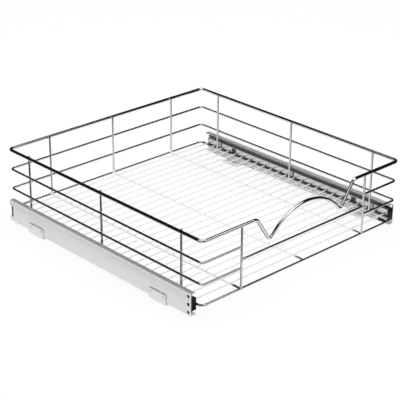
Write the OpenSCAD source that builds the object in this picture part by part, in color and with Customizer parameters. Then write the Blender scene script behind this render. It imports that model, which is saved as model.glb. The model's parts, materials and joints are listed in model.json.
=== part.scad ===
// Low wire pull-out basket for a kitchen cupboard, carried by two side-mounted
// three-part ball-bearing slides that screw to the cupboard floor on four feet.
// Millimetres. +Z up, front of the basket towards -Y, origin on the floor at
// the middle of the footprint.

/* [Basket] */
// Width of the basket over the outside of its rim
rim_w = 504; // [440:1:620]
// Depth of the basket over the outside of its rim
rim_d = 536; // [532:1:620]
// Height of the rim wire's centre above the base ring's centre
basket_h = 120; // [100:1:180]
// Height step from the base ring to the lower rail, and on to the upper rail
rail_pitch = 40; // [30:1:48]
// Diameter of the rim wire
rim_wire = 6; // [5:0.5:8]
// Diameter of the rails, hoops and uprights
frame_wire = 4; // [3:0.5:5]
// Diameter of the floor wires
floor_wire = 2.5; // [2:0.25:3.5]
// Spacing of the floor wires
floor_pitch = 21; // [16:0.5:28]
// Distance of the outer hoops from the middle one
hoop_step = 157; // [140:1:180]
// Distance of the outer side uprights from the middle one
upright_step = 209; // [190:0.5:215]
// Bend radius of the rim's corners
rim_bend = 9; // [6:0.5:20]
// Bend radius of the rails' corners
rail_bend = 7; // [5:0.5:20]
// Bend radius of the base ring's corners
ring_bend = 10; // [6:0.5:20]
// Bend radius at the foot of each hoop
hoop_bend = 4; // [3.5:0.5:8]
// Overrun of the uprights above the rim's centre
upright_rise = 1.5; // [0:0.1:2.5]
// Overrun of the side uprights below the base ring's centre
upright_tail = 3; // [1:0.5:3.5]
// Overrun of the floor wires past the base ring's centre
floor_overrun = 1; // [0:0.1:1.5]

/* [Scooped handle] */
// Distance from a front upright to the shoulder where the rim turns down
shoulder_inset = 33; // [20:0.5:40]
// Sideways run of the rim from its shoulder to the valley
valley_run = 33.5; // [25:0.5:45]
// Drop of the rim from its shoulder to the sharp corner of the valley
valley_drop = 49.5; // [35:0.5:55]
// Slope of the arch where it leaves the valley, in degrees
arch_slope = 48.6; // [40:0.1:52]
// Straight stretch between the valley's bend and the arch
arch_flank = 1.6; // [1:0.1:10]
// Bend radius of the shoulders
shoulder_bend = 12; // [8:0.5:18]
// Bend radius of the valleys
valley_bend = 7; // [5:0.5:10]
// Height of the low front wire above the base ring
front_wire_h = 56; // [48:0.5:60]

/* [Slides] */
// Length of the cabinet member
slide_l = 505; // [480:1:510]
// Height of the cabinet member
slide_h = 42.4; // [40:0.1:50]
// Thickness of a closed slide, from its back to the drawer member's face
slide_t = 12.7; // [12.5:0.1:14]
// Sheet thickness of the cabinet member
cabinet_t = 1.2; // [1:0.1:1.5]
// Sheet thickness of the middle and drawer members
member_t = 1; // [0.8:0.1:1.2]
// Bend radius inside the cabinet member's corners
cabinet_bend = 0.8; // [0.4:0.1:1.2]
// Bend radius inside the drawer member's corners
drawer_bend = 0.6; // [0.3:0.1:1]
// Angle at which the rolled lips stop short of level, in degrees
lip_angle = 20; // [15:1:35]
// Diameter of the balls
ball_d = 4; // [3.5:0.1:4.4]
// Sideways step between the outer and the inner row of balls
row_step = 3.6; // [3.2:0.1:4]
// Balls in each row
ball_count = 8; // [4:1:10]
// Spacing of the balls in a row
ball_pitch = 28; // [10:1:28]
// Strip thickness of the ball retainers
retainer_t = 0.5; // [0.4:0.05:0.6]
// Strip left round a ball's pocket
tab_rim = 0.8; // [0.5:0.1:1]
// Diameter of the three assembly holes at the front of the cabinet member
front_hole = 6.5; // [3:0.1:7]
// Distance of the assembly holes from the front end
front_hole_inset = 6; // [4:0.1:8]
// Spacing of the assembly holes
front_hole_step = 15; // [8:0.5:15.5]
// Height of the notch in the back of the cabinet member's rear end
notch_h = 22; // [12:0.5:24]
// Length of that notch
notch_l = 10; // [5:0.1:12]
// Distance of the middle member's front end behind the cabinet member's
middle_inset = 27; // [20:0.5:28]
// Length of the plug in the front end of the drawer member
plug_l = 25; // [15:1:40]
// Length of the plug's cap in front of the drawer member
cap_l = 4; // [2:0.5:6]
// Free space between that cap and the front bumper on the middle member
bumper_space = 4; // [2:0.5:8]
// Distance of the sliding members' rear ends in front of the cabinet member's
member_inset = 8; // [6:0.5:12]
// Length of the rear bumper
rear_bumper_l = 4; // [2:0.1:5]
// Height of the rear bumper above the cabinet member's back
rear_bumper_t = 4; // [3:0.1:6]
// Height of the base ring below the slide's middle
ring_drop = 2.6; // [0:0.1:3]

/* [Hooks] */
// Distance of the two hooks of a slide from its middle
hook_y = 165; // [100:1:190]
// Width of the tongue that holds the base ring
tongue_w = 9; // [6:0.5:10]
// Slot beside the tongue in its window
tongue_slot = 2; // [1:0.5:4]
// Height of the tongue's end above the base ring's centre
tongue_rise = 1.5; // [0:0.1:1.8]
// Bend radius inside the tongue
tongue_bend = 0.6; // [0.3:0.1:1]
// Face left between a window and the drawer member's corner
window_margin = 0.7; // [0.3:0.1:3]

/* [Feet] */
// Sheet thickness of the feet
foot_t = 2; // [1.5:0.1:2.5]
// Width of a foot along the slide
foot_w = 43; // [36:1:60]
// Height of a foot's upright leg
foot_h = 20.7; // [18:0.1:24]
// Reach of a foot's flat leg under the slide
foot_reach = 25; // [24:0.5:40]
// Distance of the feet from the middle of the slide
foot_y = 170.5; // [120:0.5:200]
// Clear height of the slide above the cupboard floor
slide_lift = 4.4; // [3.6:0.1:8]
// Bend radius inside a foot
foot_bend = 1; // [0.5:0.1:1.2]
// Corner radius of a foot's legs
foot_corner = 3; // [1:0.5:4]
// Spacing of the two rivets in a foot
rivet_spacing = 31; // [20:1:34]
// Diameter of a rivet's shank
rivet_d = 3; // [2.5:0.1:4]
// Diameter of a rivet's head
rivet_head_d = 5.4; // [4.8:0.1:7]
// Height of a rivet's head
rivet_head_h = 1.05; // [0.6:0.05:1.5]
// Height of the rivets above the cupboard floor
rivet_z = 14.3; // [12:0.1:16]
// Spacing of the two floor screws in a foot
screw_spacing = 24; // [16:1:30]
// Diameter of a floor screw's hole
screw_hole = 4.5; // [4:0.1:5]
// Distance of the screw holes from the end of the flat leg
screw_inset = 5; // [4:0.5:8]

/* [Clearances] */
// Clearance of a ball in its races
race_gap = 0.15; // [0.1:0.01:0.25]
// Clearance between nested sheets
member_gap = 0.25; // [0.2:0.01:0.35]
// Clearance of a ball in its retainer
pocket_gap = 0.1; // [0.05:0.01:0.15]
// Clearance between the drawer member and the base ring
ring_gap = 0.3; // [0.2:0.05:0.5]
// Clearance of the base ring in its hooks
hook_gap = 0.1; // [0.05:0.01:0.2]
// Clearance of the plastic pieces from what slides past them
bumper_gap = 0.4; // [0.3:0.05:0.5]
// Clearance of a rivet in its hole
rivet_gap = 0.05; // [0.02:0.01:0.1]
// Seat of a welded wire against its neighbour
weld_gap = 0.05; // [0.02:0.01:0.1]

/* [Hidden] */
$fn = 48;

// A bend is a trace thicker than the straight that runs on into it
wire_swell = 0.03;
wire_lap = 0.3;
sheet_swell = 0.01;
sheet_lap = 0.1;
// A cut runs on past the faces that it opens
cut_over = 1;

// Colours of the finishes
chrome = "gainsboro";
zinc = "silver";
polished_steel = "lightgray";
black_plastic = "#1d1d1f";

// Heights above the cupboard floor
slide_z = slide_lift + slide_h / 2;
base_z = slide_z - ring_drop;
lower_z = base_z + rail_pitch;
upper_z = lower_z + rail_pitch;
rim_z = base_z + basket_h;
floor_z = base_z + (frame_wire + floor_wire) / 2 + weld_gap;
upright_top = rim_z + upright_rise;
upright_foot = base_z - upright_tail;

// Wire centrelines in plan: the uprights stand inside the rim and the rails
rim_x = (rim_w - rim_wire) / 2;
rim_y = (rim_d - rim_wire) / 2;
wall_x = rim_x - (rim_wire + frame_wire) / 2 - weld_gap;
wall_y = rim_y - (rim_wire + frame_wire) / 2 - weld_gap;
rail_x = wall_x + frame_wire + weld_gap;
rail_y = wall_y + frame_wire + weld_gap;
// The base ring touches the outside of the hoops' bends
touch = hoop_bend + frame_wire + wire_swell / 2 + weld_gap;
ring_y = wall_y - hoop_bend + sqrt(touch * touch - hoop_bend * hoop_bend);

// The scooped front of the rim
shoulder_x = hoop_step - shoulder_inset;
valley_x = shoulder_x - valley_run;
valley_z = rim_z - valley_drop;
arch_apex_z = valley_z + valley_x * tan(arch_slope);
valley_turn = atan(valley_drop / valley_run) + arch_slope;
arch_tangent = valley_x / cos(arch_slope) - valley_bend * tan(valley_turn / 2) - arch_flank;
arch_bend = arch_tangent / tan(arch_slope);
rail_end_x = hoop_step + frame_wire / 2 + weld_gap;
front_wire_end_x = hoop_step - frame_wire / 2 - weld_gap;

// The floor wires lie on the straight part of the base ring's sides
floor_run = ring_y - ring_bend - floor_wire / 2;
floor_half = floor(floor_run / floor_pitch + 0.5);
floor_end_x = rail_x + floor_overrun;

// The slide's section, with depth d inwards from the cabinet member's back
slide_x = rail_x + frame_wire / 2 + ring_gap + slide_t;
ball_r = ball_d / 2;
race_r = ball_r + race_gap;
outer_strip_d = cabinet_t + member_gap;
middle_d = outer_strip_d + retainer_t + member_gap;
inner_strip_d = middle_d + member_t + member_gap;
inner_ball_d = middle_d + member_t + race_r;
outer_ball_d = inner_ball_d + row_step;
outer_ball_z = slide_h / 2 - cabinet_t - race_r;
row_distance = 2 * race_r + member_t;
row_rise = sqrt(row_distance * row_distance - row_step * row_step);
row_angle = atan(row_rise / row_step);
inner_ball_z = outer_ball_z - row_rise;
drawer_top = inner_ball_z - race_r;
drawer_lip_d = inner_strip_d + retainer_t + member_gap;
drawer_lip_angle = asin((inner_ball_d - drawer_lip_d) / (race_r + member_t));

// Ends of the members, with the slide shut
slide_front = -slide_l / 2;
slide_rear = slide_l / 2;
member_rear = slide_rear - member_inset;
middle_front = slide_front + middle_inset;
drawer_front = slide_front + cap_l;
retainer_l = (ball_count - 1) * ball_pitch + 2 * (ball_d + tab_rim);

// The hooks in the drawer member
shelf_top = -ring_drop - frame_wire / 2 - hook_gap;
window_top = drawer_top - member_t - drawer_bend - window_margin;
tongue_end_d = slide_t + ring_gap + frame_wire + hook_gap;

// Screw holes in the feet
screw_x = slide_x + foot_t - foot_reach + screw_inset;

function unit(v) = v / norm(v);
function square_to(v) = abs(v.z) < 0.9 ? unit(cross(v, [0, 0, 1])) : [1, 0, 0];

// Moves children so that their axes lie along three square directions at a point
module set_axes(origin, x, y, z) {
  multmatrix([
    [x.x, y.x, z.x, origin.x],
    [x.y, y.y, z.y, origin.y],
    [x.z, y.z, z.z, origin.z],
    [0, 0, 0, 1]
  ]) children();
}

module straight_wire(from, to, d) {
  z = unit(to - from);
  x = square_to(z);
  set_axes(from, x, cross(z, x), z) cylinder(h = norm(to - from), d = d);
}

// Round bend between the wire that comes in along u and the one that goes out along v
module wire_bend(corner, u, v, r, d) {
  turn = acos(u * v);
  inward = unit(v - (u * v) * u);
  start = corner - u * r * tan(turn / 2);
  set_axes(start + inward * r, -inward, u, cross(-inward, u))
    rotate_extrude(angle = turn) translate([r, 0]) circle(d = d + wire_swell);
}

// Length that the bend at one corner takes off each leg
function bend_tangent(before, corner, after, r) =
  r * tan(acos(unit(corner - before) * unit(after - corner)) / 2);

// Wire through corner points, each rounded to its own radius; a closed wire has no ends
module bent_wire(points, radii, d, closed = false) {
  n = len(points);
  first_corner = closed ? 0 : 1;
  last_corner = closed ? n - 1 : n - 2;
  trims = [for (i = [0:n - 1]) (i < first_corner || i > last_corner) ? 0 :
    bend_tangent(points[(i + n - 1) % n], points[i], points[(i + 1) % n], radii[i]) - wire_lap];
  for (i = [first_corner:last_corner])
    wire_bend(points[i], unit(points[i] - points[(i + n - 1) % n]),
      unit(points[(i + 1) % n] - points[i]), radii[i], d);
  for (i = [0:closed ? n - 1 : n - 2]) {
    next = (i + 1) % n;
    along = unit(points[next] - points[i]);
    straight_wire(points[i] + along * trims[i], points[next] - along * trims[next], d);
  }
}

module top_rim() {
  front = -rim_y;
  points = [
    [-rim_x, front, rim_z], [-shoulder_x, front, rim_z], [-valley_x, front, valley_z],
    [0, front, arch_apex_z],
    [valley_x, front, valley_z], [shoulder_x, front, rim_z], [rim_x, front, rim_z],
    [rim_x, rim_y, rim_z], [-rim_x, rim_y, rim_z]
  ];
  radii = [
    rim_bend, shoulder_bend, valley_bend, arch_bend, valley_bend, shoulder_bend, rim_bend,
    rim_bend, rim_bend
  ];
  color(chrome) bent_wire(points, radii, rim_wire, closed = true);
}

// Rail round the back and sides, ending at the front uprights
module open_rail(z) {
  points = [
    [-rail_end_x, -rail_y, z], [-rail_x, -rail_y, z], [-rail_x, rail_y, z],
    [rail_x, rail_y, z], [rail_x, -rail_y, z], [rail_end_x, -rail_y, z]
  ];
  radii = [0, rail_bend, rail_bend, rail_bend, rail_bend, 0];
  color(chrome) bent_wire(points, radii, frame_wire);
}

module upper_rail() {
  open_rail(upper_z);
}

module lower_rail() {
  open_rail(lower_z);
}

module front_wire() {
  z = base_z + front_wire_h;
  color(chrome)
    straight_wire([-front_wire_end_x, -rail_y, z], [front_wire_end_x, -rail_y, z], frame_wire);
}

module base_ring() {
  points = [
    [-rail_x, -ring_y, base_z], [rail_x, -ring_y, base_z],
    [rail_x, ring_y, base_z], [-rail_x, ring_y, base_z]
  ];
  color(chrome)
    bent_wire(points, [for (i = [0:3]) ring_bend], frame_wire, closed = true);
}

// Wire down the back and along the floor, which stops at the base ring in front
module hoop(x) {
  points = [
    [x, frame_wire / 2 + weld_gap - ring_y, base_z],
    [x, wall_y, base_z], [x, wall_y, upright_top]
  ];
  color(chrome) bent_wire(points, [0, hoop_bend, 0], frame_wire);
}

module left_hoop() {
  hoop(-hoop_step);
}

module middle_hoop() {
  hoop(0);
}

module right_hoop() {
  hoop(hoop_step);
}

module side_uprights(x) {
  color(chrome)
    for (i = [-1:1])
      straight_wire([x, i * upright_step, upright_foot], [x, i * upright_step, upright_top],
        frame_wire);
}

module left_uprights() {
  side_uprights(-wall_x);
}

module right_uprights() {
  side_uprights(wall_x);
}

// The front uprights stand on the base ring, under the rim, between the ends of the rails
module front_uprights() {
  foot = base_z + frame_wire / 2 + weld_gap;
  top = rim_z - rim_wire / 2 - weld_gap;
  color(chrome)
    for (x = [-hoop_step, hoop_step])
      straight_wire([x, -rail_y, foot], [x, -rail_y, top], frame_wire);
}

module floor_wires() {
  color(chrome)
    for (i = [0:2 * floor_half - 1]) {
      y = (i + 0.5 - floor_half) * floor_pitch;
      straight_wire([-floor_end_x, y, floor_z], [floor_end_x, y, floor_z], floor_wire);
    }
}

// Places a slide piece, drawn with depth along +X, on the left side of the basket
module on_left() {
  translate([-slide_x, 0, slide_z]) children();
}

module on_right() {
  mirror([1, 0, 0]) on_left() children();
}

// Runs a section, drawn as depth and height, along the slide
module run(from, to) {
  translate([0, to, 0]) rotate([90, 0, 0]) linear_extrude(to - from) children();
}

module block(d, y, z) {
  translate([d[0], y[0], z[0]]) cube([d[1] - d[0], y[1] - y[0], z[1] - z[0]]);
}

// Cut for a hole through a sheet that has one face at the origin
module through_hole(r, t) {
  cylinder(r = r, h = 2 * (t + cut_over), center = true);
}

// Bent strip round a centre, from one angle to another
module arc_strip(centre, r, t, from, to) {
  reach = 2 * (r + t);
  middle = (from + to) / 2;
  translate(centre) intersection() {
    difference() {
      circle(r + t + sheet_swell);
      circle(r - sheet_swell);
    }
    polygon([
      [0, 0],
      reach * [cos(from), sin(from)],
      reach * [cos(middle), sin(middle)],
      reach * [cos(to), sin(to)]
    ]);
  }
}

module bar(d, z) {
  translate([d[0], z[0]]) square([d[1] - d[0], z[1] - z[0]]);
}

// A section is drawn for its upper half and mirrored
module both_halves() {
  children();
  mirror([0, 1]) children();
}

// Back, flange and rolled lip over the outer balls
module cabinet_section() {
  corner = cabinet_bend + cabinet_t;
  both_halves() {
    bar([0, cabinet_t], [0, slide_h / 2 - corner + sheet_lap]);
    arc_strip([corner, slide_h / 2 - corner], cabinet_bend, cabinet_t, 90, 180);
    bar([corner - sheet_lap, outer_ball_d + sheet_lap], [slide_h / 2 - cabinet_t, slide_h / 2]);
    arc_strip([outer_ball_d, outer_ball_z], race_r, cabinet_t, lip_angle, 90);
  }
}

// Web, arched over the inner balls and cupped under the outer ones
module middle_section() {
  both_halves() {
    bar([middle_d, middle_d + member_t], [0, inner_ball_z + sheet_lap]);
    arc_strip([inner_ball_d, inner_ball_z], race_r, member_t, row_angle, 180);
    translate([inner_ball_d + outer_ball_d, inner_ball_z + outer_ball_z] / 2) rotate(row_angle)
      square([member_t + 2 * sheet_swell, 2 * sheet_lap], center = true);
    arc_strip([outer_ball_d, outer_ball_z], race_r, member_t, 180 + row_angle, 360 - lip_angle);
  }
}

// Face, flange and cup under the inner balls
module drawer_section() {
  corner = drawer_bend + member_t;
  both_halves() {
    bar([slide_t - member_t, slide_t], [0, drawer_top - corner + sheet_lap]);
    arc_strip([slide_t - corner, drawer_top - corner], drawer_bend, member_t, 0, 90);
    bar([inner_ball_d - sheet_lap, slide_t - corner + sheet_lap],
      [drawer_top - member_t, drawer_top]);
    arc_strip([inner_ball_d, inner_ball_z], race_r, member_t, 270 - drawer_lip_angle, 270);
  }
}

// Strip bent to a channel, with a tab at the height of each row of balls
module retainer_section(d, ball_depth, z) {
  top = z + retainer_t / 2;
  both_halves() {
    bar([d, d + retainer_t], [0, top]);
    bar([d, ball_depth + ball_r + tab_rim], [top - retainer_t, top]);
  }
}

module at_balls(depth, z) {
  for (row = [-1, 1], i = [0:ball_count - 1])
    translate([depth, (i - (ball_count - 1) / 2) * ball_pitch, row * z]) children();
}

module retainer(d, ball_depth, z) {
  pocket_r = ball_r + pocket_gap;
  pocket_h = ball_d;
  difference() {
    run(-retainer_l / 2, retainer_l / 2) retainer_section(d, ball_depth, z);
    at_balls(ball_depth, z) cylinder(r = pocket_r, h = pocket_h, center = true);
  }
}

module cabinet_member() {
  difference() {
    run(slide_front, slide_rear) cabinet_section();
    for (i = [-1:1])
      translate([0, slide_front + front_hole_inset, i * front_hole_step])
        rotate([0, 90, 0]) through_hole(front_hole / 2, cabinet_t);
    block([-cut_over, cabinet_t + cut_over], [slide_rear - notch_l, slide_rear + cut_over],
      [-notch_h / 2, notch_h / 2]);
    at_rivets() through_hole(rivet_d / 2 + rivet_gap, cabinet_t);
  }
}

module middle_member() {
  run(middle_front, member_rear) middle_section();
}

// Tongue cut from the window: a shelf under the base ring, turned up inside it
module hook_tongue() {
  bend_d = tongue_end_d - tongue_bend;
  bend_z = shelf_top + tongue_bend;
  bar([slide_t - member_t, bend_d + sheet_lap], [shelf_top - member_t, shelf_top]);
  arc_strip([bend_d, bend_z], tongue_bend, member_t, 270, 360);
  bar([tongue_end_d, tongue_end_d + member_t], [bend_z - sheet_lap, tongue_rise - ring_drop]);
}

module drawer_member() {
  half_window = tongue_w / 2 + tongue_slot;
  difference() {
    run(drawer_front, member_rear) drawer_section();
    for (y = [-hook_y, hook_y])
      block([slide_t - member_t - cut_over, slide_t + cut_over],
        [y - half_window, y + half_window], [shelf_top - member_t / 2, window_top]);
  }
  for (y = [-hook_y, hook_y])
    run(y - tongue_w / 2, y + tongue_w / 2) hook_tongue();
}

module outer_retainer() {
  retainer(outer_strip_d, outer_ball_d, outer_ball_z);
}

module inner_retainer() {
  retainer(inner_strip_d, inner_ball_d, inner_ball_z);
}

module outer_balls() {
  at_balls(outer_ball_d, outer_ball_z) sphere(ball_r);
}

module inner_balls() {
  at_balls(inner_ball_d, inner_ball_z) sphere(ball_r);
}

// Rivets lie along the depth of the slide, two to a foot
module at_rivets() {
  for (y = [-foot_y, foot_y], side = [-0.5, 0.5])
    translate([0, y + side * rivet_spacing, rivet_z - slide_z]) rotate([0, 90, 0]) children();
}

// Domed head outside the foot, shank flush inside the cabinet member
module foot_rivets() {
  head_r = (rivet_head_d * rivet_head_d / 4 + rivet_head_h * rivet_head_h) / (2 * rivet_head_h);
  at_rivets() {
    translate([0, 0, -foot_t]) cylinder(d = rivet_d, h = foot_t + cabinet_t);
    translate([0, 0, -foot_t]) intersection() {
      translate([0, 0, head_r - rivet_head_h]) sphere(head_r);
      translate([0, 0, -rivet_head_h]) cylinder(d = 2 * rivet_head_d, h = rivet_head_h);
    }
  }
}

// Plate outline with two rounded corners on its far side
module rounded_end(w, l, r) {
  translate([-w / 2, 0]) square([w, l - r]);
  translate([r - w / 2, 0]) square([w - 2 * r, l]);
  for (x = [r - w / 2, w / 2 - r])
    translate([x, l - r]) circle(r);
}

// Angle bracket: an upright leg on the back of the slide, a flat leg under it
module foot(y) {
  corner = foot_bend + foot_t;
  floor_d = -slide_z;
  difference() {
    intersection() {
      run(y - foot_w / 2, y + foot_w / 2) {
        bar([-foot_t, 0], [floor_d + corner - sheet_lap, floor_d + foot_h]);
        arc_strip([foot_bend, floor_d + corner], foot_bend, foot_t, 180, 270);
        bar([foot_bend - sheet_lap, foot_reach - foot_t], [floor_d, floor_d + foot_t]);
      }
      translate([-foot_t, y, floor_d]) rotate([90, 0, 90])
        linear_extrude(foot_reach) rounded_end(foot_w, foot_h, foot_corner);
      translate([-foot_t, y, floor_d]) rotate([0, 0, -90])
        linear_extrude(foot_h) rounded_end(foot_w, foot_reach, foot_corner);
    }
    at_rivets() through_hole(rivet_d / 2 + rivet_gap, foot_t);
    for (side = [-0.5, 0.5])
      translate([slide_x - screw_x, y + side * screw_spacing, floor_d])
        through_hole(screw_hole / 2, foot_t);
  }
}

// Frame on the front end of the middle member that cushions the opening slide
module front_bumper() {
  back_d = cabinet_t + bumper_gap;
  pad_d = outer_ball_d + race_r / 2 + bumper_gap;
  pad_bottom = drawer_top + bumper_gap;
  pad_top = outer_ball_z + race_r / 2;
  run(drawer_front + bumper_space, middle_front) both_halves() {
    bar([back_d, middle_d + member_t], [0, pad_top]);
    bar([back_d, pad_d], [pad_bottom, pad_top]);
  }
}

// Plug in the front end of the drawer member's channel, with a cap that closes the slide
module drawer_plug() {
  plug_d = drawer_lip_d + bumper_gap;
  half_h = drawer_top - member_t - drawer_bend;
  cap_d = cabinet_t + bumper_gap;
  corner = drawer_bend + member_t;
  block([plug_d, slide_t - member_t], [drawer_front, slide_front + plug_l], [-half_h, half_h]);
  run(slide_front, drawer_front) both_halves() {
    bar([cap_d, slide_t - corner], [0, drawer_top]);
    bar([cap_d, slide_t], [0, drawer_top - corner]);
    translate([slide_t - corner, drawer_top - corner]) circle(corner);
  }
}

// Pad on the cabinet member's back that stops the middle member
module rear_bumper() {
  half_h = inner_ball_z;
  front = member_rear + bumper_gap;
  block([cabinet_t, cabinet_t + rear_bumper_t], [front, front + rear_bumper_l], [-half_h, half_h]);
}

module left_cabinet_member() { color(zinc) on_left() cabinet_member(); }
module left_middle_member() { color(zinc) on_left() middle_member(); }
module left_drawer_member() { color(zinc) on_left() drawer_member(); }
module left_outer_retainer() { color(zinc) on_left() outer_retainer(); }
module left_inner_retainer() { color(zinc) on_left() inner_retainer(); }
module left_outer_balls() { color(polished_steel) on_left() outer_balls(); }
module left_inner_balls() { color(polished_steel) on_left() inner_balls(); }
module left_front_foot() { color(zinc) on_left() foot(-foot_y); }
module left_rear_foot() { color(zinc) on_left() foot(foot_y); }
module left_foot_rivets() { color(zinc) on_left() foot_rivets(); }
module left_front_bumper() { color(black_plastic) on_left() front_bumper(); }
module left_drawer_plug() { color(black_plastic) on_left() drawer_plug(); }
module left_rear_bumper() { color(black_plastic) on_left() rear_bumper(); }

module right_cabinet_member() { color(zinc) on_right() cabinet_member(); }
module right_middle_member() { color(zinc) on_right() middle_member(); }
module right_drawer_member() { color(zinc) on_right() drawer_member(); }
module right_outer_retainer() { color(zinc) on_right() outer_retainer(); }
module right_inner_retainer() { color(zinc) on_right() inner_retainer(); }
module right_outer_balls() { color(polished_steel) on_right() outer_balls(); }
module right_inner_balls() { color(polished_steel) on_right() inner_balls(); }
module right_front_foot() { color(zinc) on_right() foot(-foot_y); }
module right_rear_foot() { color(zinc) on_right() foot(foot_y); }
module right_foot_rivets() { color(zinc) on_right() foot_rivets(); }
module right_front_bumper() { color(black_plastic) on_right() front_bumper(); }
module right_drawer_plug() { color(black_plastic) on_right() drawer_plug(); }
module right_rear_bumper() { color(black_plastic) on_right() rear_bumper(); }

top_rim();
upper_rail();
lower_rail();
front_wire();
base_ring();
left_hoop();
middle_hoop();
right_hoop();
left_uprights();
right_uprights();
front_uprights();
floor_wires();
left_cabinet_member();
left_middle_member();
left_drawer_member();
left_outer_retainer();
left_inner_retainer();
left_outer_balls();
left_inner_balls();
left_front_foot();
left_rear_foot();
left_foot_rivets();
left_front_bumper();
left_drawer_plug();
left_rear_bumper();
right_cabinet_member();
right_middle_member();
right_drawer_member();
right_outer_retainer();
right_inner_retainer();
right_outer_balls();
right_inner_balls();
right_front_foot();
right_rear_foot();
right_foot_rivets();
right_front_bumper();
right_drawer_plug();
right_rear_bumper();
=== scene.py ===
# %% [markdown]
# # A pull-out wire basket on ball-bearing slides
# This lesson dresses a finished CAD model. The wires, slides, feet and balls already have their
# real shape and size, so Blender adds what a drawing leaves out: the plating, the weld spots, the
# softened edges of the moulded plastic and the light of a small photo studio.
# The model comes in first. Dressing must not make it any bigger.

# %% Load the frame
import json
import math
import random

import bmesh
import bpy
from mathutils import Matrix, Vector


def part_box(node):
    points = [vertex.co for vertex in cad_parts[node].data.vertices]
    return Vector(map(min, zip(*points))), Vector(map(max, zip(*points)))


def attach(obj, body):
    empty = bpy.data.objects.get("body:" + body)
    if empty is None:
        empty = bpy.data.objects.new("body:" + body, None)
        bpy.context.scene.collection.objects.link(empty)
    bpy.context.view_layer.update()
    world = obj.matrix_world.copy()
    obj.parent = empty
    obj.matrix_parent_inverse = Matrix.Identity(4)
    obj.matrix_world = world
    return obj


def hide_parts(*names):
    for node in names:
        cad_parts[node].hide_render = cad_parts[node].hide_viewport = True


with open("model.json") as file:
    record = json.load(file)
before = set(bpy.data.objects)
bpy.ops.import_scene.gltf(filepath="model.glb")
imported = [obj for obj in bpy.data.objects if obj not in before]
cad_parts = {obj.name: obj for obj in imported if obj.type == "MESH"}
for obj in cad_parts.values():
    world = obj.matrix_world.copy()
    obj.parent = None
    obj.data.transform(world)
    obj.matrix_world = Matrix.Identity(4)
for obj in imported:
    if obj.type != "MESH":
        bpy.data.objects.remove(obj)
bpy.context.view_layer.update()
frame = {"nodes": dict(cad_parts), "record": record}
nodes = frame["nodes"]


# %% [markdown]
# ## The camera
# The picture is taken with a long lens from the front left, a little above the rim. A long lens
# keeps the far side of the basket almost as large as the near side. A tracking constraint could aim
# the camera, but it gives no roll. So the place, the two angles and the slight roll are set as
# numbers, and a matrix is built from them: its third column is the direction from the object back to
# the camera.

# %% Camera
CAMERA_AT = Vector((-1.54491, -1.62511, 1.08277))
CAMERA_AZIMUTH = math.radians(-43.4759)
CAMERA_ELEVATION = math.radians(24.7217)
CAMERA_ROLL = math.radians(0.4238)
CAMERA_LENS = 117.112
UP = Vector((0, 0, 1))


def add_object(name, data):
    made = bpy.data.objects.new(name, data)
    bpy.context.scene.collection.objects.link(made)
    return made


def make_camera():
    flat = math.cos(CAMERA_ELEVATION)
    back = Vector((math.sin(CAMERA_AZIMUTH) * flat, -math.cos(CAMERA_AZIMUTH) * flat,
                   math.sin(CAMERA_ELEVATION)))
    right = UP.cross(back).normalized()
    level = Matrix((right, back.cross(right), back)).transposed()
    turned = level @ Matrix.Rotation(CAMERA_ROLL, 3, "Z")
    data = bpy.data.cameras.new("camera")
    data.lens = CAMERA_LENS
    made = add_object("camera", data)
    made.matrix_world = Matrix.Translation(CAMERA_AT) @ turned.to_4x4()
    return made


camera = make_camera()
bpy.context.scene.camera = camera
bpy.context.scene.view_settings.view_transform = "Standard"
print("camera lens:", camera.data.lens, "mm")

# %% [markdown]
# ## Helpers for node trees
# A material is a tree of nodes. A few small helpers keep the lines short. The first two give a
# socket either a link or a fixed value, the next adds a node, and two make and place a node group
# with named sockets.

# %% Node helpers
FLOAT = "NodeSocketFloat"


def join(tree, socket, value):
    if isinstance(value, bpy.types.NodeSocket):
        tree.links.new(value, socket)
    else:
        socket.default_value = value


def feed(tree, node, **inputs):
    for key, value in inputs.items():
        join(tree, node.inputs[key.replace("_", " ")], value)


def add_node(tree, kind, settings=None, **inputs):
    made = tree.nodes.new(kind)
    for key, value in (settings or {}).items():
        setattr(made, key, value)
    feed(tree, made, **inputs)
    return made


def new_group(name, inputs, outputs):
    group = bpy.data.node_groups.new(name, "ShaderNodeTree")
    for label, value in inputs.items():
        socket = group.interface.new_socket(label, in_out="INPUT", socket_type=FLOAT)
        socket.default_value = value
    for label in outputs:
        group.interface.new_socket(label, in_out="OUTPUT", socket_type=FLOAT)
    given = group.nodes.new("NodeGroupInput").outputs
    out = group.nodes.new("NodeGroupOutput")
    return group, given, out


def use_group(tree, group, **inputs):
    return add_node(tree, "ShaderNodeGroup", {"node_tree": group}, **inputs).outputs


print("node helpers ready")

# %% [markdown]
# ## Helpers for values and places
# Most finishes here depend on where a point lies on the part. So the next helpers do sums with
# values, mix two colours, and read the place of a point: its X, Y and Z on the model, and its
# distance from the middle plane, which is the same on both sides. A ramp turns a value into a
# mask that goes from 0 at its start to 1 at its end. A Mix node has sockets for each kind of value
# under the same names, so the ones for colours are picked by number.

# %% Value and place helpers
MIX_FACTOR, MIX_A, MIX_B, MIX_RESULT = 0, 6, 7, 2


def math_node(tree, operation, *values, clamp=False):
    made = add_node(tree, "ShaderNodeMath", {"operation": operation, "use_clamp": clamp})
    for socket, value in zip(made.inputs, values):
        join(tree, socket, value)
    return made.outputs["Value"]


def multiply(tree, first, *others):
    for other in others:
        first = math_node(tree, "MULTIPLY", first, other)
    return first


def vector_node(tree, operation, a, b):
    made = add_node(tree, "ShaderNodeVectorMath", {"operation": operation})
    join(tree, made.inputs[0], a)
    join(tree, made.inputs[1], b)
    return made.outputs


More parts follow.
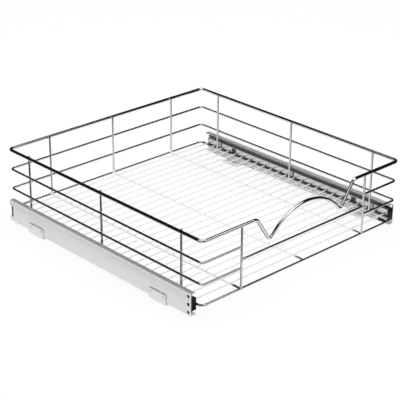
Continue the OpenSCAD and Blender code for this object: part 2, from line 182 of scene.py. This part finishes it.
def mix_colors(tree, factor, a, b):
    made = add_node(tree, "ShaderNodeMix", {"data_type": "RGBA"})
    for index, value in ((MIX_FACTOR, factor), (MIX_A, a), (MIX_B, b)):
        join(tree, made.inputs[index], value)
    return made.outputs[MIX_RESULT]


def noise(tree, place, scale, detail):
    made = add_node(tree, "ShaderNodeTexNoise", Vector=place, Scale=scale, Detail=detail)
    return made.outputs["Fac"]


def ramp(tree, value, start, end):
    made = add_node(tree, "ShaderNodeMapRange", Value=value, From_Min=start, From_Max=end)
    return made.outputs["Result"]


def object_place(tree):
    return add_node(tree, "ShaderNodeTexCoord").outputs["Object"]


def place_parts(tree):
    return add_node(tree, "ShaderNodeSeparateXYZ", Vector=object_place(tree)).outputs


def from_middle(tree, parts):
    return math_node(tree, "ABSOLUTE", parts["X"])


def grey(value):
    return (value, value, value, 1)


print("value and place helpers ready")

# %% [markdown]
# ## Plating haze
# Chrome and zinc are plated in a bath, and no bath is perfectly even. A cloudy noise a few
# centimetres across moves the roughness between two values, and a second, finer noise gives the
# faint mottle that is seen close up. Both platings use it, and so do the balls and the plastic with
# other values, so it is a group. A noise seldom leaves the middle of its range, so that middle is
# spread over the two values.

# %% Plating haze group
MOTTLE_SHARE = 0.4
NOISE_LOW = 0.3
NOISE_HIGH = 0.7


def make_plating_haze():
    group, given, out = new_group(
        "plating_haze",
        {"Cloud Scale": 18.0, "Mottle Scale": 600.0, "Low": 0.1, "High": 0.2},
        ("Roughness", "Cloud", "Mottle"))
    place = object_place(group)
    cloud = noise(group, place, given["Cloud Scale"], detail=3.0)
    mottle = noise(group, place, given["Mottle Scale"], detail=2.0)
    clouded = multiply(group, cloud, 1 - MOTTLE_SHARE)
    both = math_node(group, "MULTIPLY_ADD", mottle, MOTTLE_SHARE, clouded)
    spread = add_node(group, "ShaderNodeMapRange", Value=both, From_Min=NOISE_LOW,
                      From_Max=NOISE_HIGH, To_Min=given["Low"], To_Max=given["High"])
    feed(group, out, Roughness=spread.outputs["Result"], Cloud=cloud, Mottle=mottle)
    return group


plating_haze = make_plating_haze()
print("group:", plating_haze.name)

# %% [markdown]
# ## Rolled grain
# Sheet steel carries the fine lines of the rolls that pressed it. The lines run along the slide. A
# wave texture could draw them, but too evenly. A noise that is stretched along Y does better: its
# pattern is long in that direction and fine across it. The lines lighten the coat in streaks and are
# the height of a faint bump.

# %% Rolled grain group


def make_rolled_grain():
    group, given, out = new_group(
        "rolled_grain", {"Fineness": 1400.0, "Stretch": 0.02}, ("Lines",))
    long_way = add_node(group, "ShaderNodeCombineXYZ", X=1.0, Y=given["Stretch"], Z=1.0)
    squeezed = vector_node(group, "MULTIPLY", object_place(group), long_way.outputs["Vector"])
    feed(group, out, Lines=noise(group, squeezed["Vector"], given["Fineness"], detail=2.0))
    return group


rolled_grain = make_rolled_grain()
print("group:", rolled_grain.name)

# %% [markdown]
# ## Rubbed edges
# Handling polishes the edges of plated sheet and of moulded plastic first. The pointiness of a mesh
# can show its edges, but only where there are many vertices. A Bevel node works on any mesh: it gives
# the normal that a rounded edge would have, and where that differs from the true normal there is an
# edge. The difference becomes a mask, broken up by a noise so that the wear is uneven.

# %% Rubbed edges group
PATCH_SCALE = 160.0
WEAR_GAIN = 6.0


def make_rubbed_edges():
    group, given, out = new_group(
        "rubbed_edges", {"Radius": 0.0006, "Strength": 0.6}, ("Mask",))
    rounded = add_node(group, "ShaderNodeBevel", {"samples": 4}, Radius=given["Radius"])
    true = add_node(group, "ShaderNodeNewGeometry").outputs["Normal"]
    agree = vector_node(group, "DOT_PRODUCT", rounded.outputs["Normal"], true)["Value"]
    edge = math_node(group, "SUBTRACT", 1.0, agree)
    patches = noise(group, object_place(group), PATCH_SCALE, detail=3.0)
    uneven = multiply(group, edge, multiply(group, patches, WEAR_GAIN))
    feed(group, out, Mask=math_node(group, "MULTIPLY", uneven, given["Strength"], clamp=True))
    return group


rubbed_edges = make_rubbed_edges()
print("group:", rubbed_edges.name)

# %% [markdown]
# ## Painted gap shade
# The deep, narrow gaps between the rolled sections of a slide lie in shade, and this group paints
# that shade into the colour. An Ambient Occlusion node measures how closed in a point is: 1 in the
# open and 0 in a slot. The mask starts only where a point is well closed in, so the flat faces stay
# clean. It fades out below the basket floor, where the gap is washed by the light of the paper. The
# same painted shade lies over the inner side of the rolled lip that holds the balls, and a painted
# line of shadow and dark reflection lies under the base ring, which rests against the drawer member.

# %% Painted gap shade group
SLOT_LIGHT = 0.15


def make_greased_gaps():
    group, given, out = new_group(
        "painted_gap_shade",
        {"Reach": 0.012, "Open": 0.75, "Bottom": 0.012, "Top": 0.02,
         "Lip Low": 0.036, "Lip Top": 0.0, "Lip Fade": 0.002, "Lip Side": 0.2552,
         "Ring Mark": 0.0, "Mark Low": 0.0172, "Mark Full": 0.0195, "Mark High": 0.0225},
        ("Mask",))
    # Painted shade: where the AO finds a point closed in, the mask darkens it to the gap shade colour.
    light = add_node(group, "ShaderNodeAmbientOcclusion", {"samples": 8}, Distance=given["Reach"])
    parts = place_parts(group)
    deep = ramp(group, light.outputs["AO"], given["Open"], SLOT_LIGHT)
    upper = ramp(group, parts["Z"], given["Bottom"], given["Top"])
    gap = multiply(group, deep, upper)
    # Painted shade on the inner side of the rolled lip that holds the balls.
    full = math_node(group, "SUBTRACT", given["Lip Top"], given["Lip Fade"])
    lip_shade_fade = ramp(group, parts["Z"], given["Lip Top"], full)
    above = math_node(group, "GREATER_THAN", parts["Z"], given["Lip Low"])
    inside = math_node(group, "LESS_THAN", from_middle(group, parts), given["Lip Side"])
    lip_shade = multiply(group, lip_shade_fade, above, inside)
    # Painted shadow and dark reflection of the base ring, as a line on the drawer member under it.
    rise = ramp(group, parts["Z"], given["Mark Low"], given["Mark Full"])
    under = math_node(group, "LESS_THAN", parts["Z"], given["Mark High"])
    ring_shade_line = multiply(group, rise, under, given["Ring Mark"])
    gap_and_lip_shade = math_node(group, "MAXIMUM", gap, lip_shade)
    feed(group, out, Mask=math_node(group, "MAXIMUM", gap_and_lip_shade, ring_shade_line))
    return group


painted_gap_shade = make_greased_gaps()
print("group:", painted_gap_shade.name)

# %% [markdown]
# ## Painted bend highlight
# The outer bend of the cabinet members catches the light, and this group paints that highlight into
# the colour. A rubbed edge is too narrow for this, and it is broken up. So the place of a point makes
# a second mask, which is 1 on that bend and fades out over the flange. On the right member the light
# band is wider.

# %% Painted bend highlight group


def make_polished_bend():
    group, given, out = new_group(
        "painted_bend_highlight", {"Inner": 0.2605, "Outer": 0.2625, "Bottom": 0.0425}, ("Mask",))
    parts = place_parts(group)
    # Painted highlight: 1 on the outer bend of a cabinet member, fading out over the flange.
    near = ramp(group, from_middle(group, parts), given["Inner"], given["Outer"])
    high = math_node(group, "GREATER_THAN", parts["Z"], given["Bottom"])
    feed(group, out, Mask=multiply(group, near, high))
    return group


painted_bend_highlight = make_polished_bend()
print("group:", painted_bend_highlight.name)

# %% [markdown]
# ## Paper glare
# White paper throws so much light up under the basket that the sheet next to it loses its grey. Only
# the inner side shows this: the lower lips of the slides and the flat legs of the feet. The mask is 1
# near the paper, and it stops at the outer face of the slides. A second mask keeps only the upright
# faces, which mirror the paper. More lamps could do the same, but they would wash out all the rest.

# %% Paper glare group
UPRIGHT_SLOPE = 0.5


def make_paper_glare():
    group, given, out = new_group(
        "paper_glare", {"Reach": 0.0135, "Fade": 0.0015, "Half Width": 0.262}, ("Mask", "Wall"))
    parts = place_parts(group)
    end = math_node(group, "ADD", given["Reach"], given["Fade"])
    low = ramp(group, parts["Z"], end, given["Reach"])
    inside = math_node(group, "LESS_THAN", from_middle(group, parts), given["Half Width"])
    mask = multiply(group, low, inside)
    normal = add_node(group, "ShaderNodeNewGeometry").outputs["Normal"]
    facing = add_node(group, "ShaderNodeSeparateXYZ", Vector=normal).outputs
    upright = math_node(group, "LESS_THAN", math_node(group, "ABSOLUTE", facing["Z"]), UPRIGHT_SLOPE)
    feed(group, out, Mask=mask, Wall=multiply(group, mask, upright))
    return group


paper_glare = make_paper_glare()
print("group:", paper_glare.name)

# %% [markdown]
# ## Chrome wire
# The rails, uprights and rim are drawn wire, bent, welded and then plated all together. Bright
# chrome is almost a mirror: its look is the studio that it reflects. The roughness stays low and
# only the haze moves it, with a trace of ripple from the bath. The thick rim reads a little brighter
# than the thin wires, so it gets a lighter copy of the chrome: painted sheen. The base ring gets
# painted shade and dark reflection on its two sides, where it runs along the slides.

# %% Chrome material
CHROME_TINT = (0.62, 0.625, 0.635, 1)
CHROME_SHADE = (0.56, 0.565, 0.575, 1)
# Painted sheen: a lighter copy of the chrome tints for the thick rim.
RIM_SHEEN_TINT = (0.72, 0.725, 0.73, 1)
RIM_SHEEN_SHADE = (0.65, 0.655, 0.665, 1)
CHROME_ROUGH = {"Low": 0.05, "High": 0.11}
BATH_RIPPLE = {"Strength": 0.04, "Distance": 0.0002}
# Painted shade and dark reflection on the two sides of the base ring.
RING_SIDE_SHADE = (0.16, 0.158, 0.153, 1)
RING_WIDTH = 0.0045
RING_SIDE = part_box("base_ring")[1].x - RING_WIDTH
RING_FADE = 0.002


def new_material(name):
    material = bpy.data.materials.new(name)
    material.use_nodes = True
    return material, material.node_tree, material.node_tree.nodes["Principled BSDF"]


def add_ripple(tree, shader, height, ripple):
    bump = add_node(tree, "ShaderNodeBump", Height=height, **ripple)
    feed(tree, shader, Normal=bump.outputs["Normal"])


# Paints shade and dark reflection on the two sides of the base ring.
def painted_side_shade(tree, color):
    across = from_middle(tree, place_parts(tree))
    side = ramp(tree, across, RING_SIDE - RING_FADE, RING_SIDE)
    return mix_colors(tree, side, color, RING_SIDE_SHADE)


def make_chrome(name, shade, tint, shade_sides=False):
    material, tree, shader = new_material(name)
    haze = use_group(tree, plating_haze, **CHROME_ROUGH)
    color = mix_colors(tree, haze["Cloud"], shade, tint)
    if shade_sides:
        color = painted_side_shade(tree, color)
    feed(tree, shader, Base_Color=color, Roughness=haze["Roughness"], Metallic=1.0)
    add_ripple(tree, shader, haze["Mottle"], BATH_RIPPLE)
    return material


chrome = make_chrome("chrome_wire", CHROME_SHADE, CHROME_TINT)
rim_sheen_chrome = make_chrome("rim_sheen_chrome", RIM_SHEEN_SHADE, RIM_SHEEN_TINT)
side_shaded_ring_chrome = make_chrome("side_shaded_ring_chrome", CHROME_SHADE, CHROME_TINT, shade_sides=True)
print("materials:", chrome.name, rim_sheen_chrome.name, side_shaded_ring_chrome.name)

# %% [markdown]
# ## Satin floor with painted light
# The floor of the basket reads paler than the rails: light washes it out. Its wires get a satin
# roughness, and their pale grey is painted light. The hoops carry both finishes. They are bright
# where they climb the back, and satin with painted light where they run under the floor wires. The
# ends of the floor wires are bright too. Two materials on one node would meet in a hard line, so a
# mask made from the place of a point mixes the two finishes. The thin floor wires are a trace darker.

# %% Satin floor material with painted light
FLOOR_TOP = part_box("floor_wires")[1].z
FLOOR_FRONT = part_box("floor_wires")[0].y
BRIGHT_END = 0.004
FLOOR_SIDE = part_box("floor_wires")[1].x - BRIGHT_END
FLOOR_FADE = 0.003
SATIN_ROUGH = 0.5
# Painted light: the pale grey of the satin stands in for the light that washes out the basket floor.
SATIN_PAINTED_LIGHT_GREY = grey(0.9)
THIN_SATIN_PAINTED_LIGHT_GREY = grey(0.86)


def floor_mask(tree):
    parts = place_parts(tree)
    low = ramp(tree, parts["Z"], FLOOR_TOP + FLOOR_FADE, FLOOR_TOP)
    behind = ramp(tree, parts["Y"], FLOOR_FRONT - FLOOR_FADE, FLOOR_FRONT)
    between = ramp(tree, from_middle(tree, parts), FLOOR_SIDE + FLOOR_FADE, FLOOR_SIDE)
    return multiply(tree, low, behind, between)


def make_satin_painted_light(name, tint):
    material, tree, shader = new_material(name)
    haze = use_group(tree, plating_haze, **CHROME_ROUGH)
    bright = mix_colors(tree, haze["Cloud"], CHROME_SHADE, CHROME_TINT)
    floor = floor_mask(tree)
    feed(tree, shader,
         # Under the floor top the colour turns to the pale grey of painted light.
         Base_Color=mix_colors(tree, floor, bright, tint),
         Roughness=math_node(tree, "MULTIPLY_ADD", floor, SATIN_ROUGH, haze["Roughness"]),
         Metallic=math_node(tree, "SUBTRACT", 1.0, floor))
    add_ripple(tree, shader, haze["Mottle"], BATH_RIPPLE)
    return material


satin_painted_light = make_satin_painted_light("satin_painted_light_wire", SATIN_PAINTED_LIGHT_GREY)
thin_satin_painted_light = make_satin_painted_light("thin_satin_painted_light_wire", THIN_SATIN_PAINTED_LIGHT_GREY)
print("materials:", satin_painted_light.name, thin_satin_painted_light.name, "below", round(FLOOR_TOP, 4), "m")

# %% [markdown]
# ## Zinc-plated sheet
# The slides and feet are rolled steel with a zinc coat. It is a soft grey metal that blurs what it
# reflects. The haze gives slow clouds, the grain gives lines along the slide, and the edges are
# rubbed a little brighter. Then come the painted shade in the gaps, the painted highlight on the
# bend and the glare of the paper, each over the one before. All three also take away its metal.
# Only the upright faces next to the paper get a share of it back.
# The members differ. The drawer member is drawn tighter and shines more, so the base ring is mirrored
# in its face. The middle member, which runs between the two rows of balls, is the dullest. The feet
# are cut from thicker sheet and are a trace lighter. So the function takes the two greys, the share
# of metal and the roughness as values, and then what is special to a member.

# %% Zinc material
# Painted shade: the colour that the closed-in gaps, the rolled lip and the line under the base ring are
# darkened to.
GAP_SHADE_COLOR = (0.2, 0.198, 0.19, 1)
RUBBED = grey(0.85)
GLARE = grey(0.97)
GLARE_METAL = 0.7
LINE_SHARE = 0.25
LINE_RIPPLE = {"Strength": 0.12, "Distance": 0.0001}
HAZE_SPREAD = 1.3
LIP_TOP = 0.0462
# Painted highlight on the outer bend: where the band starts, and the grey it turns to.
BEND_HIGHLIGHT = (0.2612, grey(0.68))
WIDE_BEND_HIGHLIGHT = (0.2535, grey(0.85))
CABINET_ZINC = {"dark": 0.69, "light": 0.79, "metal": 0.65, "rough": 0.3, "lip_top": LIP_TOP}
# On the drawer member, the painted line of shadow and dark reflection under the base ring is turned on.
DRAWER_ZINC = {"dark": 0.55, "light": 0.63, "metal": 1.0, "rough": 0.12, "gaps_open": 0.9, "ring_shade": 0.75}
MIDDLE_ZINC = {"dark": 0.66, "light": 0.74, "metal": 0.25, "rough": 0.5, "lip_top": LIP_TOP}
FOOT_ZINC = {"dark": 0.74, "light": 0.82, "metal": 0.9, "rough": 0.3}


def make_zinc(name, dark, light, metal, rough, gaps_open=0.75, lip_top=0.0, bend_highlight=BEND_HIGHLIGHT, ring_shade=0.0):
    material, tree, shader = new_material(name)
    haze = use_group(tree, plating_haze, Cloud_Scale=9.0, Low=rough, High=rough * HAZE_SPREAD)
    lines = use_group(tree, rolled_grain)["Lines"]
    edges = use_group(tree, rubbed_edges, Strength=0.3)["Mask"]
    # Painted shade in the gaps and painted highlight on the bend, each mixed over the coat.
    gap_shade_mask = use_group(tree, painted_gap_shade, Open=gaps_open, Lip_Top=lip_top, Ring_Mark=ring_shade)["Mask"]
    highlight_inner, highlight_grey = bend_highlight
    highlight_mask = use_group(tree, painted_bend_highlight, Inner=highlight_inner)["Mask"]
    glare = use_group(tree, paper_glare)
    coat = mix_colors(tree, haze["Cloud"], grey(dark), grey(light))
    streaked = mix_colors(tree, multiply(tree, lines, LINE_SHARE), coat, grey(light))
    rubbed = mix_colors(tree, edges, streaked, RUBBED)
    gap_shaded = mix_colors(tree, gap_shade_mask, rubbed, GAP_SHADE_COLOR)
    highlighted = mix_colors(tree, highlight_mask, gap_shaded, highlight_grey)
    pale = math_node(tree, "MAXIMUM", glare["Mask"], highlight_mask)
    dull = math_node(tree, "MAXIMUM", pale, gap_shade_mask)
    bare = multiply(tree, math_node(tree, "SUBTRACT", 1.0, dull), metal)
    feed(tree, shader,
         Base_Color=mix_colors(tree, glare["Mask"], highlighted, GLARE),
         Roughness=haze["Roughness"],
         Metallic=math_node(tree, "ADD", bare, multiply(tree, glare["Wall"], GLARE_METAL)))
    add_ripple(tree, shader, lines, LINE_RIPPLE)
    return material


zinc = make_zinc("zinc_steel", **CABINET_ZINC)
# The right cabinet member has a wider band of painted bend highlight.
wide_highlight_zinc = make_zinc("wide_highlight_zinc", bend_highlight=WIDE_BEND_HIGHLIGHT, **CABINET_ZINC)
bright_zinc = make_zinc("bright_zinc", **DRAWER_ZINC)
inner_zinc = make_zinc("inner_zinc", **MIDDLE_ZINC)
foot_zinc = make_zinc("foot_zinc", **FOOT_ZINC)
print("materials:", zinc.name, wide_highlight_zinc.name, bright_zinc.name, inner_zinc.name, foot_zinc.name)

# %% [markdown]
# ## Polished balls and black plastic
# The balls are hardened and polished steel under a trace of grease: a mirror with faint clouds.
# The bumpers and plugs are moulded plastic with a fine spark-eroded texture, which is a bump, and
# rubbed edges that catch the light.

# %% Ball and plastic materials
BALL_SHADE = grey(0.62)
BALL_TINT = grey(0.78)
PLASTIC_BLACK = (0.008, 0.008, 0.009, 1)
PLASTIC_RUBBED = (0.05, 0.05, 0.052, 1)
PLASTIC_SHINE = 0.2
MOULD_TEXTURE = {"Strength": 0.25, "Distance": 0.00015}


def make_ball_steel():
    material, tree, shader = new_material("ball_steel")
    haze = use_group(tree, plating_haze, Cloud_Scale=250.0, Mottle_Scale=2500.0, Low=0.08, High=0.18)
    color = mix_colors(tree, haze["Cloud"], BALL_SHADE, BALL_TINT)
    feed(tree, shader, Base_Color=color, Roughness=haze["Roughness"], Metallic=1.0)
    return material


def make_black_plastic():
    material, tree, shader = new_material("black_plastic")
    haze = use_group(tree, plating_haze, Cloud_Scale=120.0, Mottle_Scale=2400.0, Low=0.42, High=0.58)
    edges = use_group(tree, rubbed_edges, Radius=0.0004, Strength=0.5)
    color = mix_colors(tree, edges["Mask"], PLASTIC_BLACK, PLASTIC_RUBBED)
    feed(tree, shader, Base_Color=color, Roughness=haze["Roughness"],
         Specular_IOR_Level=PLASTIC_SHINE)
    add_ripple(tree, shader, haze["Mottle"], MOULD_TEXTURE)
    return material


ball_steel = make_ball_steel()
black_plastic = make_black_plastic()
print("materials:", ball_steel.name, black_plastic.name)

# %% [markdown]
# ## Dress the CAD nodes
# Most nodes get the finish of their material slot in the record. Some have a finish of their own: the
# feet, drawer members and middle members on both sides, the right cabinet member, the rim, the base
# ring, and the hoops and floor wires, which carry the satin with painted light.

# %% Assign finishes
HOOPS = ("left_hoop", "middle_hoop", "right_hoop")
SLOT_FINISH = {"chrome_wire": chrome, "zinc_steel": zinc, "ball_steel": ball_steel,
               "black_plastic": black_plastic}
BOTH_SIDES_FINISH = {"_foot": foot_zinc, "_drawer_member": bright_zinc, "_middle_member": inner_zinc}
OWN_FINISH = {"right_cabinet_member": wide_highlight_zinc, "base_ring": side_shaded_ring_chrome, "top_rim": rim_sheen_chrome,
              "floor_wires": thin_satin_painted_light}
OWN_FINISH.update({hoop: satin_painted_light for hoop in HOOPS})
slots = {part["node"]: part["material_slot"] for part in frame["record"]["subparts"]}


def finish_of(name):
    for ending, finish in BOTH_SIDES_FINISH.items():
        if name.endswith(ending):
            return finish
    return OWN_FINISH.get(name, SLOT_FINISH[slots[name]])


for name, node in nodes.items():
    node.data.materials.clear()
    node.data.materials.append(finish_of(name))
print("dressed", len(nodes), "nodes")

# %% [markdown]
# ## Weld spots
# Where two wires cross, a machine presses them together and a short burst of current melts the
# touching skin. A small lens of metal swells out of the joint. One lens is a flattened sphere, its
# short axis along the line between the two wires. The places could be typed in, but they come from
# the boxes of the nodes, so each lens sits exactly where two wires touch. The wire of the rim is one
# and a half times as thick as that of the frame, which gives the height of its middle.

# %% Weld spot places
FRAME_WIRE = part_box("left_uprights")[1].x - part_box("left_uprights")[0].x
FLOOR_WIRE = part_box("floor_wires")[1].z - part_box("floor_wires")[0].z
FLOOR_COUNT = 24
UPRIGHT_COUNT = 3
RIM_WIRE = FRAME_WIRE * 1.5
ALONG_X = Vector((1, 0, 0))
ALONG_Y = Vector((0, 1, 0))


def middle(name):
    low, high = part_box(name)
    return (low + high) / 2


def even_steps(low, high, count):
    return [low + (high - low) * i / (count - 1) for i in range(count)]


def weld_places():
    places = []
    half = FRAME_WIRE / 2
    rails = [middle(name).z for name in ("base_ring", "lower_rail", "upper_rail")]
    levels = rails + [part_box("top_rim")[1].z - RIM_WIRE / 2]
    for side, face in (("left_uprights", 0), ("right_uprights", 1)):
        low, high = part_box(side)
        for y in even_steps(low.y + half, high.y - half, UPRIGHT_COUNT):
            places += [((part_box(side)[face].x, y, z), ALONG_X, FRAME_WIRE) for z in levels]
    for hoop in HOOPS:
        x = middle(hoop).x
        low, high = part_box(hoop)
        places += [((x, high.y, z), ALONG_Y, FRAME_WIRE) for z in levels[1:]]
        places.append(((x, low.y, rails[0]), ALONG_Y, FRAME_WIRE))
    low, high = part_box("front_uprights")
    y = middle("front_uprights").y
    for x, inward in ((low.x + half, 1), (high.x - half, -1)):
        places += [((x, y, z), UP, FRAME_WIRE) for z in (low.z, high.z)]
        places += [((x - inward * half, y, z), ALONG_X, FRAME_WIRE) for z in rails[1:]]
        places.append(((x + inward * half, y, middle("front_wire").z), ALONG_X, FRAME_WIRE))
    low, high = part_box("floor_wires")
    crossings = [middle(hoop).x for hoop in HOOPS]
    crossings += [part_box("base_ring")[0].x + half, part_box("base_ring")[1].x - half]
    for y in even_steps(low.y + FLOOR_WIRE / 2, high.y - FLOOR_WIRE / 2, FLOOR_COUNT):
        places += [((x, y, low.z), UP, FLOOR_WIRE) for x in crossings]
    return places


weld_spots = weld_places()
print("weld spots:", len(weld_spots))

# %% [markdown]
# A lens is a little wider than the wire is thick and about half as tall, with a trace of randomness
# in its size, because no two welds are the same. All lenses become one mesh that rides on the basket.

# %% Weld spot mesh
WELD_SPREAD = 0.56
WELD_DEPTH = 0.27
WELD_SIZES = (0.94, 1.06)
WELD_SEED = 7


def make_welds(places):
    chance = random.Random(WELD_SEED)
    shape = bmesh.new()
    for place, normal, wire in places:
        size = wire * chance.uniform(*WELD_SIZES)
        turn = UP.rotation_difference(normal).to_matrix().to_4x4()
        flat = Matrix.Diagonal((size * WELD_SPREAD, size * WELD_SPREAD, size * WELD_DEPTH, 1))
        bmesh.ops.create_icosphere(shape, subdivisions=2, radius=1,
                                   matrix=Matrix.Translation(place) @ turn @ flat)
    mesh = bpy.data.meshes.new("basket_welds")
    shape.to_mesh(mesh)
    shape.free()
    mesh.shade_smooth()
    mesh.materials.append(satin_painted_light)
    made = add_object("basket_welds", mesh)
    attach(made, "basket")
    return made


welds = make_welds(weld_spots)
print(welds.name, "triangles:", len(welds.data.polygons))

# %% [markdown]
# ## Moulded edges
# A mould can't hold a knife edge, so the corners of a plastic part come out slightly round and
# catch a thin line of light. The CAD mesh stays as it is, so each black part is copied from its node,
# its edges are rounded by a bevel, and the copy then stands for the node. The front bumpers travel
# with the middle members, the plugs with the basket, and the rear bumpers stay in the cabinet.

# %% Rounded plastic
EDGE_ROUND = 0.0003
EDGE_ANGLE = math.radians(40)
SAME_POINT = 0.000005
MOULDED = {
    "left_front_bumper": "left_middle", "left_drawer_plug": "basket",
    "left_rear_bumper": "cabinet_side",
    "right_front_bumper": "right_middle", "right_drawer_plug": "basket",
    "right_rear_bumper": "cabinet_side",
}


def round_copy(name, body):
    shape = bmesh.new()
    shape.from_mesh(nodes[name].data)
    bmesh.ops.remove_doubles(shape, verts=shape.verts, dist=SAME_POINT)
    mesh = bpy.data.meshes.new(name + "_moulded")
    shape.to_mesh(mesh)
    shape.free()
    mesh.materials.append(black_plastic)
    mesh.shade_smooth()
    copy = add_object(name + "_moulded", mesh)
    bevel = copy.modifiers.new("edge", "BEVEL")
    bevel.width = EDGE_ROUND
    bevel.segments = 2
    bevel.limit_method = "ANGLE"
    bevel.angle_limit = EDGE_ANGLE
    bevel.harden_normals = True
    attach(copy, body)
    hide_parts(name)
    return copy


moulded = [round_copy(name, body) for name, body in MOULDED.items()]
print("moulded parts:", [piece.name for piece in moulded])

# %% [markdown]
# ## Studio floor and world
# The basket stands on a pale sweep under soft light. The floor is a plain matt white. A share of it
# glows for the camera and for reflections, so it reads as white paper, and the rest is lit, so it
# keeps the shadow. The world is white for the same rays and gives a soft fill to all others.

# %% Floor and world
FLOOR_HALF = 6.0
FLOOR_WHITE = grey(0.95)
FLOOR_GLOW = 0.85
FILL_LIGHT = 0.8
WHITE = grey(1.0)
MATT = {"Roughness": 1.0, "Specular_IOR_Level": 0.0}


def seen_rays(tree):
    path = add_node(tree, "ShaderNodeLightPath").outputs
    seen = math_node(tree, "MAXIMUM", path["Is Camera Ray"], path["Is Glossy Ray"])
    return math_node(tree, "MAXIMUM", seen, path["Is Transmission Ray"])


def mix_shaders(tree, factor, a, b, output):
    both = add_node(tree, "ShaderNodeMixShader", Fac=factor)
    tree.links.new(a, both.inputs[1])
    tree.links.new(b, both.inputs[2])
    tree.links.new(both.outputs["Shader"], tree.nodes[output].inputs["Surface"])


def make_paper():
    material, tree, shader = new_material("white_paper")
    feed(tree, shader, Base_Color=FLOOR_WHITE, **MATT)
    glow = add_node(tree, "ShaderNodeEmission", Color=WHITE, Strength=1.0)
    share = multiply(tree, seen_rays(tree), FLOOR_GLOW)
    mix_shaders(tree, share, shader.outputs["BSDF"], glow.outputs["Emission"], "Material Output")
    return material


def make_world():
    world = bpy.data.worlds.new("studio")
    world.use_nodes = True
    tree = world.node_tree
    fill = tree.nodes["Background"]
    feed(tree, fill, Color=WHITE, Strength=FILL_LIGHT)
    white = add_node(tree, "ShaderNodeBackground", Color=WHITE, Strength=1.0)
    mix_shaders(tree, seen_rays(tree), fill.outputs["Background"], white.outputs["Background"],
                "World Output")
    return world


def make_stage(name, points, faces, material):
    mesh = bpy.data.meshes.new(name)
    mesh.from_pydata(points, [], faces)
    mesh.materials.append(material)
    made = add_object(name, mesh)
    return made


def make_sheet(name, edges, z, material):
    x_low, x_high, y_low, y_high = edges
    corners = [(x_low, y_low, z), (x_high, y_low, z), (x_high, y_high, z), (x_low, y_high, z)]
    return make_stage(name, corners, [(0, 1, 2, 3)], material)


floor = make_sheet("floor", (-FLOOR_HALF, FLOOR_HALF, -FLOOR_HALF, FLOOR_HALF), 0, make_paper())
bpy.context.scene.world = make_world()
print(floor.name, FLOOR_HALF * 2, "m wide, world:", bpy.context.scene.world.name)

# %% [markdown]
# ## Dark flags
# Chrome in an all-white room looks white, and a white basket on white paper would vanish. So a
# photographer stands dark flags round the set: the wires reflect them as dark lines with bright
# edges. The flags here are seen only in reflections. One stands round the back and the right of the
# set, one behind the camera, and one hangs at the left, clear of the floor. The openings between them
# are white, and the bends, the arch and its flanks, which look that way, show them as bright streaks.
# The rest lie on the floor: one beyond each slide, two under the left wall, where the left uprights
# look, and two in front, with a lane of bare paper between them. A small white card over the right
# side gives the front of the rim its streak.

# %% Flag places
# A standing flag has its first and last angle round the set, its lower and its upper edge.
RING_RADIUS = 3.2
RING_SEGMENTS = 36
STANDING_FLAGS = {
    "ring_flag": (-62, 160, 0.02, 7.5),
    "left_high_flag": (160, 233, 3.5, 12.0),
    "camera_flag": (233, 268, 0.05, 12.0),
}
# A flag on the floor has its lowest and highest X, then its lowest and highest Y.
FLAG_FAR = RING_RADIUS
FLAG_Z = 0.004
FLOOR_FLAGS = {
    "left_flag": (-FLAG_FAR, -0.325, -FLAG_FAR, FLAG_FAR),
    "right_flag": (0.325, FLAG_FAR, -0.335, FLAG_FAR),
    "wall_flag": (-0.25, -0.19, 0.03, 0.27),
    "wide_wall_flag": (-0.25, -0.05, -0.27, 0.03),
    "front_left_flag": (-0.262, -0.1, -FLAG_FAR, -0.4),
    "front_right_flag": (0.21, FLAG_FAR, -FLAG_FAR, -0.335),
}
CARD_CORNERS = [(0.2, -0.72, 0.56), (0.38, -0.72, 0.56), (0.38, -0.48, 0.68), (0.2, -0.48, 0.68)]
print("flags:", len(STANDING_FLAGS), "standing,", len(FLOOR_FLAGS), "on the floor")

# %% [markdown]
# The cloth of the flags is a matt black, and the card is a white board that glows a little. A flag
# must not darken the set itself, so it is hidden from all rays but the mirrored ones.

# %% Flags
FLAG_BLACK = grey(0.015)
CARD_WHITE = grey(0.9)
CARD_GLOW = 1.4


def plain_material(name, **values):
    material, tree, shader = new_material(name)
    feed(tree, shader, **values)
    return material


def make_standing_flag(name, turns, material):
    first, last, low, high = turns
    angles = [math.radians(a) for a in even_steps(first, last, RING_SEGMENTS + 1)]
    points = [(RING_RADIUS * math.cos(a), RING_RADIUS * math.sin(a), z)
              for z in (low, high) for a in angles]
    row = len(angles)
    faces = [(i, i + 1, i + 1 + row, i + row) for i in range(RING_SEGMENTS)]
    return make_stage(name, points, faces, material)


def only_in_reflections(piece):
    piece.visible_camera = False
    piece.visible_diffuse = False
    piece.visible_shadow = False
    piece.visible_transmission = False


flag_cloth = plain_material("flag_cloth", Base_Color=FLAG_BLACK, **MATT)
card_board = plain_material("card_board", Base_Color=CARD_WHITE, Emission_Color=WHITE,
                            Emission_Strength=CARD_GLOW)
flags = [make_sheet(name, edges, FLAG_Z, flag_cloth) for name, edges in FLOOR_FLAGS.items()]
flags += [make_standing_flag(name, turns, flag_cloth) for name, turns in STANDING_FLAGS.items()]
white_card = make_stage("white_card", CARD_CORNERS, [(0, 1, 2, 3)], card_board)
for piece in flags + [white_card]:
    only_in_reflections(piece)
print("flags:", [flag.name for flag in flags], "card:", white_card.name)

# %% [markdown]
# ## Soft boxes
# Two large soft boxes light the set at a plain level: one high over the basket and one from the
# front left. The second is kept out of reflections, because the bent wires would all show it.

# %% Lamps


def make_softbox(name, place, target, size, power):
    data = bpy.data.lights.new(name, "AREA")
    data.size = size
    data.energy = power
    lamp = add_object(name, data)
    lamp.location = place
    lamp.rotation_euler = (Vector(target) - Vector(place)).to_track_quat("-Z", "Y").to_euler()
    return lamp


top_box = make_softbox("top_box", place=(0.2, 0.2, 2.6), target=(0, 0, 0), size=2.2, power=22.0)
key_box = make_softbox("key_box", place=(-1.7, -1.6, 2.2), target=(0, 0, 0.05), size=1.2, power=10.0)
key_box.visible_glossy = False
print("lamps:", top_box.name, key_box.name)
